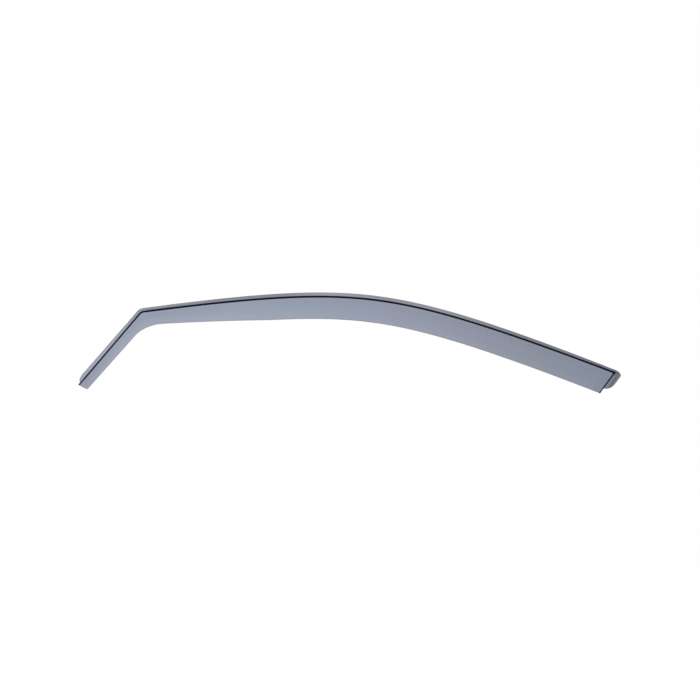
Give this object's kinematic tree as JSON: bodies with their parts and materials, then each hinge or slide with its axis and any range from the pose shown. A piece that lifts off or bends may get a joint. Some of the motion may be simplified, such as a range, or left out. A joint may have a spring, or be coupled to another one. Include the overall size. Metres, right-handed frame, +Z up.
{
  "type": "window rain deflector",
  "caption": "Smoke-tinted one-piece window rain deflector with a slide-in flange, a stepped wall and a visor that narrows into a steep front leg.",
  "frame": {"origin": "back face of the insertion flange, at the foot of the step, at the crown of the run", "axes": "+X along the part from the leg to the wide rear end, +Z up at right angles to the run's crown, -Y outward from the car; the crown is level, so on the car the part sits turned a few degrees about Y"},
  "size_m": [0.902, 0.0307, 0.1677],
  "materials": {
    "tinted_acrylic": "polished see-through smoke-tinted acrylic"
  },
  "bodies": {
    "root": {"deflector": "tinted_acrylic"}
  },
  "joints": []
}
